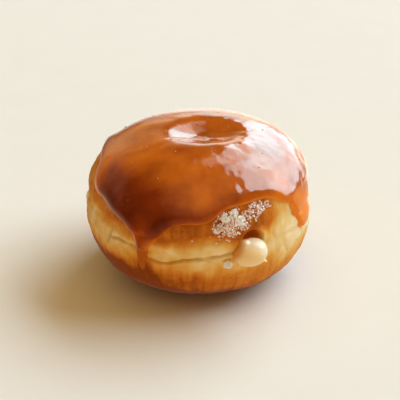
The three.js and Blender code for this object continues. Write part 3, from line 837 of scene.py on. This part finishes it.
def build_sugar():
    random = np.random.default_rng(SUGAR_SEED)
    corners = np.array(list(np.ndindex(2, 2, 2))) - 0.5
    blocks, shades = [], []

    def add_grain(azimuth, height, pile, darkest=0.0):
        elevation = elevation_at(azimuth, height)
        seat = bun_point(azimuth, elevation, creased=True)
        if not grain_fits(seat, azimuth, height):
            return
        scale = random.uniform(*GRAIN_SCALE)
        size = np.array([GRAIN["length"], GRAIN["width"], GRAIN["thickness"]]) * scale
        block = corners * size * (1 + GRAIN["jitter"] * random.uniform(-1, 1, corners.shape))
        lift = scale * GRAIN["thickness"] * (0.5 - GRAIN["sunk"]) + pile
        middle = seat + bun_normal(azimuth, elevation) * lift
        blocks.append((middle + block @ rotation(random).T, BLOCK_FACES))
        shades.append(random.uniform(darkest, 1))

    for azimuth, height in LONE_GRAINS:
        add_grain(azimuth, height, 0)
    for azimuth, height, radius, pile, grains in SUGAR_PATCHES:
        darkest = LESS_SHADED_PILE["darkest"] if pile >= LESS_SHADED_PILE["from"] else 0.0
        for _ in range(grains):
            swing = random.uniform() ** CROWDING
            heading = random.uniform(0, 2 * math.pi)
            aside = radius * swing * math.cos(heading) / math.radians(WAIST_RADIUS)
            rise = radius * swing * math.sin(heading) * SLOPE_SHARE
            add_grain(azimuth + aside, height + rise, pile * random.uniform() * (1 - swing), darkest)
    shade = np.repeat(shades, len(corners))
    return make_piece("sugar_grains", *joined(blocks), {"shade": shade}, smooth=False)


# ---- Materials ----

class Nodes:
    """A node tree, built up by small calls."""

    def __init__(self, tree):
        self.tree = tree

    def feed(self, socket, value):
        if isinstance(value, bpy.types.NodeSocket):
            self.tree.links.new(value, socket)
        else:
            socket.default_value = value

    def node(self, kind, inputs=None, **settings):
        made = self.tree.nodes.new(kind)
        for title, value in settings.items():
            setattr(made, title, value)
        for title, value in (inputs or {}).items():
            self.feed(made.inputs[title], value)
        return made

    def math(self, operation, *values, clamp=False):
        inputs = dict(enumerate(values))
        return self.node("ShaderNodeMath", inputs, operation=operation, use_clamp=clamp).outputs[0]

    def vector(self, operation, *values):
        return self.node("ShaderNodeVectorMath", dict(enumerate(values)), operation=operation).outputs

    def fade(self, value, low, high, **settings):
        """0 where the value is low and 1 where it is high."""
        inputs = {"Value": value, "From Min": low, "From Max": high}
        return self.node("ShaderNodeMapRange", inputs, **settings).outputs["Result"]

    def mix(self, factor, a, b):
        return self.node("ShaderNodeMix", {0: factor, 6: a, 7: b}, data_type="RGBA").outputs[2]


class Paint(Nodes):
    """A material, built up on the usual shader."""

    def __init__(self, name, **settings):
        self.material = bpy.data.materials.new(name)
        self.material.use_nodes = True
        super().__init__(self.material.node_tree)
        self.shader = self.tree.nodes["Principled BSDF"]
        for title, value in settings.items():
            self.shader.inputs[title.replace("_", " ")].default_value = value

    def mark(self, name):
        return self.node("ShaderNodeAttribute", attribute_name=name).outputs["Fac"]

    def grain(self, scale, detail, roughness=0.5):
        place = self.node("ShaderNodeTexCoord").outputs["Object"]
        settings = {"Vector": place, "Scale": scale, "Detail": detail, "Roughness": roughness}
        return self.node("ShaderNodeTexNoise", settings).outputs["Fac"]

    def swing(self, output, strength):
        """An output that runs from 0 to 1, centred on nought and of a strength."""
        return self.math("MULTIPLY", self.math("SUBTRACT", output, 0.5), strength)

    def ramp(self, factor, stops):
        made = self.node("ShaderNodeValToRGB", {"Fac": factor})
        steps = made.color_ramp.elements
        while len(steps) < len(stops):
            steps.new(0.5)
        for step, (position, colour) in zip(steps, stops):
            step.position = position
            step.color = (*colour, 1)
        return made.outputs["Color"]

    def colour(self, output):
        self.feed(self.shader.inputs["Base Color"], output)

    def vary(self, title, factor, usual, other):
        """Let a setting of the shader run from its usual value to another with the factor."""
        socket = self.shader.inputs[title]
        socket.default_value = usual
        made = self.node("ShaderNodeMapRange", {"Value": factor, "To Min": usual, "To Max": other})
        self.feed(socket, made.outputs["Result"])

    def bump(self, height, distance, strength):
        made = self.node("ShaderNodeBump", {"Height": height, "Distance": distance, "Strength": strength})
        self.feed(self.shader.inputs["Normal"], made.outputs["Normal"])

    def wear(self, piece):
        piece.data.materials.clear()
        piece.data.materials.append(self.material)


# All colours are linear.
# the darkest colours are reached mostly with the painted shade by the base
FRIED = [
    (0.0, (0.88, 0.71, 0.42)),
    (0.14, (0.82, 0.60, 0.26)),
    (0.32, (0.78, 0.44, 0.11)),
    (0.52, (0.70, 0.30, 0.045)),
    (0.75, (0.58, 0.172, 0.015)),
    (1.0, (0.25, 0.053, 0.005)),
]
SPECKLE = 0.28
# painted shade in the creases: its colour, and how much of it shows at a crease's full depth
CREASE_SHADE_COLOUR = (0.46, 0.24, 0.045, 1)
CREASE_SHADE_SHARE = 0.6
# painted shade inside the fill hole: deep oranges in place of the pale crumb, from its edge to its bottom
HOLE_SHADE_COLOURS = [
    (0.0, (0.80, 0.42, 0.08)),
    (0.45, (0.86, 0.36, 0.04)),
    (0.85, (1.0, 0.48, 0.06)),
]
HOLE_SHADE_ONSET = 3.0  # how fast the hole's colours take over at its edge


def dough_paint():
    paint = Paint("fried_dough", Roughness=0.6, Subsurface_Weight=0.25, Subsurface_Scale=0.0025,
                  Subsurface_Radius=(1.0, 0.5, 0.2), IOR=1.4, Specular_IOR_Level=0.08)
    # the tone holds painted shade by the base and on the lower left, as well as the browning
    browning_and_shade = paint.mark("browning_and_shade")
    speckle = paint.swing(paint.grain(scale=900, detail=4, roughness=0.6), SPECKLE)
    level = paint.math("ADD", browning_and_shade, paint.math("MULTIPLY", speckle, browning_and_shade), clamp=True)
    # painted shade in the creases darkens the fried colour
    crease = paint.math("MULTIPLY", paint.mark("crease"), CREASE_SHADE_SHARE)
    creased = paint.mix(crease, paint.ramp(level, FRIED), CREASE_SHADE_COLOUR)
    # the hole's painted shade takes over from the dough's colour near its edge
    pit = paint.mark("pit")
    shown = paint.math("MULTIPLY", pit, HOLE_SHADE_ONSET, clamp=True)
    paint.colour(paint.mix(shown, creased, paint.ramp(pit, HOLE_SHADE_COLOURS)))
    paint.bump(paint.grain(scale=1500, detail=4, roughness=0.6), distance=0.0004, strength=0.5)
    return paint


CARAMEL = [
    (0.0, (0.86, 0.262, 0.020)),
    (0.25, (0.73, 0.196, 0.015)),
    (0.45, (0.55, 0.127, 0.009)),
    (0.7, (0.30, 0.046, 0.004)),
    (1.0, (0.13, 0.017, 0.003)),
]
RUN_COLOUR = (0.43, 0.105, 0.002, 1)
# how dark the caramel is where it is thinnest, and what a millimetre, the painted shade and the clouds add
DARKNESS = dict(least=0.14, depth=0.22, pool=0.5, clouds=0.75)
GLOSSY = {"Specular IOR Level": 0.5, "Roughness": 0.08}
MATT = {"Specular IOR Level": 0.1, "Roughness": 0.42}


def glaze_paint():
    paint = Paint("caramel_glaze", IOR=1.5, Subsurface_Weight=0.25, Subsurface_Scale=0.002,
                  Subsurface_Radius=(1.0, 0.35, 0.08))
    depth = paint.math("MULTIPLY", paint.mark("depth"), DARKNESS["depth"])
    # the caramel's painted shade darkens its colour
    pool = paint.math("MULTIPLY", paint.mark("pool"), DARKNESS["pool"])
    clouds = paint.swing(paint.grain(scale=75, detail=4, roughness=0.55), DARKNESS["clouds"])
    level = paint.math("ADD", paint.math("ADD", depth, DARKNESS["least"]), pool)
    level = paint.math("ADD", level, clouds, clamp=True)
    paint.colour(paint.mix(paint.mark("run"), paint.ramp(level, CARAMEL), RUN_COLOUR))
    matt = paint.math("MAXIMUM", paint.mark("run"), paint.mark("dull"))
    for socket, glossy in GLOSSY.items():
        paint.vary(socket, matt, glossy, MATT[socket])
    return paint


CREAM_YELLOW = (0.88, 0.66, 0.34, 1)
# laid over the yellow by the marks of these names
# the whiter tint is a painted highlight on the lit top right; the deep orange tint inside the hole is
# painted shade
CREAM_TINTS = dict(lit_white=(0.86, 0.75, 0.57, 1), stain=(0.74, 0.34, 0.08, 1), hole_shade=(1.0, 0.46, 0.10, 1))


def cream_paint():
    paint = Paint("custard_cream", Roughness=0.3, Subsurface_Weight=0.5, Subsurface_Scale=0.003,
                  Subsurface_Radius=(1.0, 0.7, 0.35), Specular_IOR_Level=0.45)
    colour = CREAM_YELLOW
    for title, tint in CREAM_TINTS.items():
        colour = paint.mix(paint.mark(title), colour, tint)
    paint.colour(colour)
    paint.bump(paint.grain(scale=500, detail=2), distance=0.0002, strength=0.3)
    return paint


# painted shade on the grains: each grain's shade, drawn at random, runs from a shaded pinkish brown to
# white
GRAIN_COLOURS = [
    (0.0, (0.62, 0.30, 0.17)),
    (0.4, (0.92, 0.60, 0.51)),
    (0.7, (1.0, 1.0, 1.0)),
]


def sugar_paint():
    paint = Paint("coarse_sugar", Roughness=0.12, Subsurface_Weight=0.1, Subsurface_Scale=0.0003,
                  Subsurface_Radius=(1.0, 0.9, 0.8), IOR=1.54, Specular_IOR_Level=1.0)
    paint.colour(paint.ramp(paint.mark("shade"), GRAIN_COLOURS))
    return paint


FLOOR_COLOURS = ((0.89, 0.89, 0.875, 1), (0.925, 0.925, 0.91, 1))


def floor_paint():
    paint = Paint("pale_floor", Roughness=0.85)
    paint.colour(paint.mix(paint.grain(scale=40, detail=4), *FLOOR_COLOURS))
    return paint


# ---- Camera, light and floor ----

CAMERA_ELEVATION = 28.0
CAMERA_DISTANCE = 400.0
TARGET_HEIGHT = 31.0
FRAME_PIXELS = 400
FOCAL_PIXELS = 957.8
TARGET_PIXEL = (196.83, 196.95)
SENSOR = 36.0
CLIP_START = 0.01


def set_camera():
    data = bpy.data.cameras.new("camera")
    data.sensor_width = SENSOR
    data.lens = SENSOR * FOCAL_PIXELS / FRAME_PIXELS
    data.shift_x = (FRAME_PIXELS / 2 - TARGET_PIXEL[0]) / FRAME_PIXELS
    data.shift_y = (TARGET_PIXEL[1] - FRAME_PIXELS / 2) / FRAME_PIXELS
    data.clip_start = CLIP_START
    camera = bpy.data.objects.new("camera", data)
    rise = math.radians(CAMERA_ELEVATION)
    target = Vector((0, 0, TARGET_HEIGHT))
    away = Vector((0, -math.cos(rise), math.sin(rise))) * CAMERA_DISTANCE
    camera.location = (target + away) * MM
    camera.rotation_euler = away.to_track_quat("Z", "Y").to_euler()
    bpy.context.scene.collection.objects.link(camera)
    bpy.context.scene.camera = camera


def add_light(name, azimuth, elevation, distance, width, height, power, colour):
    data = bpy.data.lights.new(name, "AREA")
    data.shape = "RECTANGLE"
    data.size = width
    data.size_y = height
    data.energy = power
    data.color = colour
    light = bpy.data.objects.new(name, data)
    away = direction(azimuth, elevation)
    light.location = away * distance
    light.rotation_euler = away.to_track_quat("Z", "Y").to_euler()
    bpy.context.scene.collection.objects.link(light)
    return light


# What gloss mirrors of the room, besides the window: soft glows of the ceiling, walls and floor.
# azimuth, elevation, degrees out to which it is full and where it has faded, raggedness, strength, colour
MIRRORED = [
    (-75, 58, 0, 55, 0, 0.55, (1.0, 0.62, 0.30)),
    (107, 20, 6, 22, 0, 0.66, (1.0, 0.74, 0.34)),
    (84, 8, 0, 22, 0, 0.80, (1.0, 0.93, 0.82)),
    (84, 13, 0, 13, 0, 1.25, (1.0, 1.30, 1.20)),
    (88, -7, 3, 14, 0, 0.70, (1.0, 0.90, 0.74)),
    (75, -36, 26, 48, 0, 0.90, (1.0, 0.93, 0.82)),
    (62, -24, 8, 25, 0, 1.30, (1.0, 0.88, 0.70)),
    (145, 4, 10, 45, 0, 0.55, (1.0, 0.75, 0.50)),
    (42, -17, 3, 12, 0, 1.80, (1.0, 0.86, 0.66)),
    (150, -22, 4, 30, 0, 0.90, (1.0, 0.72, 0.50)),
    (77, 60, 3, 11, 0, 1.4, (1.0, 1.15, 1.10)),
    (-90, -35, 10, 60, 0, 0.22, (1.0, 0.75, 0.45)),
    (180, -40, 20, 48, 0, 0.60, (1.0, 0.62, 0.36)),
]
# the window's image: the pane's outline, what is seen through it, and where that is brighter or darker
WINDOW_PANE = (35, 25, 36.5, 41.5, 0.10, 1.0, (1.0, 1.0, 1.0))
WINDOW_VIEW = (2.85, 3.9, 4.4)
WINDOW_VIEW_GLOWS = [
    (62, 41, 6, 30, 0, 1.0, (2.4, 4.6, 5.0)),
    (8, 44, 6, 36, 0, 1.0, (2.2, 3.2, 3.2)),
    (18, 14, 6, 30, 0, 1.0, (1.0, 2.2, 2.6)),
    (80, 54, 4, 22, 0, -0.9, (2.2, 5.0, 6.0)),
]
# sines of the elevations between which the window's image begins
WINDOW_FOOT = (-0.09, -0.02)
MIRRORED_BASE = (0.045, 0.030, 0.022)
EDGE_NOISE_SCALE = 5.0
# what lights the rest: brighter from above than from the sides
ROOM_GLOWS = [(90, 74, 0, 102, 0, 0.54, (1.0, 0.66, 0.26))]
ROOM_BASE = (0.030, 0.017, 0.004)
BACKDROP = (0.86, 0.82, 0.74, 1)


def direction(azimuth, elevation):
    turn, rise = math.radians(azimuth), math.radians(elevation)
    return Vector((math.cos(rise) * math.cos(turn), math.cos(rise) * math.sin(turn), math.sin(rise)))


def glow_sum(nodes, place, glows, base):
    """A colour for each direction: a base with soft glows on it."""
    total = base
    for azimuth, elevation, full, faded, ragged, strength, colour in glows:
        nearness = nodes.vector("DOT_PRODUCT", place, direction(azimuth, elevation))["Value"]
        if ragged:
            edge = nodes.node("ShaderNodeTexNoise", {"Vector": place, "Scale": EDGE_NOISE_SCALE})
            nearness = nodes.math("MULTIPLY_ADD", edge.outputs["Fac"], ragged, nearness)
        limits = [math.cos(math.radians(angle)) for angle in (faded, full)]
        share = nodes.fade(nearness, *limits, interpolation_type="SMOOTHERSTEP")
        total = nodes.vector("MULTIPLY_ADD", Vector(colour) * strength, share, total)["Vector"]
    return total


def set_room():
    """A dim warm room with soft glows; the camera itself sees a pale backdrop past the floor."""
    world = bpy.data.worlds.new("room")
    world.use_nodes = True
    nodes = Nodes(world.node_tree)
    place = nodes.node("ShaderNodeTexCoord").outputs["Generated"]
    ray = nodes.node("ShaderNodeLightPath").outputs
    pane = glow_sum(nodes, place, [WINDOW_PANE], (0, 0, 0))
    view = glow_sum(nodes, place, WINDOW_VIEW_GLOWS, WINDOW_VIEW)
    window = nodes.vector("MULTIPLY", pane, view)["Vector"]
    height = nodes.node("ShaderNodeSeparateXYZ", {"Vector": place}).outputs["Z"]
    glows = glow_sum(nodes, place, MIRRORED, MIRRORED_BASE)
    shown = nodes.fade(height, *WINDOW_FOOT)
    mirrored = nodes.vector("MULTIPLY_ADD", window, shown, glows)["Vector"]
    light = glow_sum(nodes, place, ROOM_GLOWS, ROOM_BASE)
    room = nodes.mix(ray["Is Glossy Ray"], light, mirrored)
    seen = nodes.mix(ray["Is Camera Ray"], room, BACKDROP)
    nodes.feed(world.node_tree.nodes["Background"].inputs["Color"], seen)
    bpy.context.scene.world = world


# the window's light, broad and soft, from the back right; what gloss mirrors of it is in the world
WINDOW = dict(azimuth=32, elevation=44, distance=12.0, width=15.0, height=6.5, power=1560,
              colour=(0.83, 0.98, 1.09))
# a low, warm card in front, as the bright floor there throws light on the doughnut's side
CARD = dict(azimuth=-88, elevation=4.5, distance=4.0, width=5.5, height=0.55, power=53.1,
            colour=(1.0, 0.66, 0.30))


def set_light():
    for name, lamp in (("window", WINDOW), ("card", CARD)):
        light = add_light(name, **lamp)
        light.visible_glossy = False
        light.visible_camera = False
    set_room()
    view = bpy.context.scene.view_settings
    view.view_transform = "Standard"
    view.look = "None"


FLOOR_HALF_SIZE = 3000.0


def add_floor():
    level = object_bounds()[0][2] / MM
    corners = [(-1, -1), (1, -1), (1, 1), (-1, 1)]
    points = np.array([(x * FLOOR_HALF_SIZE, y * FLOOR_HALF_SIZE, level) for x, y in corners])
    floor = make_piece("floor", points, [[0, 1, 2, 3]], smooth=False)
    floor.visible_glossy = False
    floor_paint().wear(floor)


# ---- The scene ----

set_camera()
set_light()
add_floor()

dough = build_dough()
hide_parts("dough")
dough_paint().wear(dough)

glaze = build_glaze()
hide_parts("glaze")
glaze_paint().wear(glaze)

cream = build_cream()
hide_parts("cream")
cream_paint().wear(cream)

sugar = build_sugar()
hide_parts("dough")
sugar_paint().wear(sugar)

for piece in (dough, glaze, cream, sugar):
    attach(piece, "root")
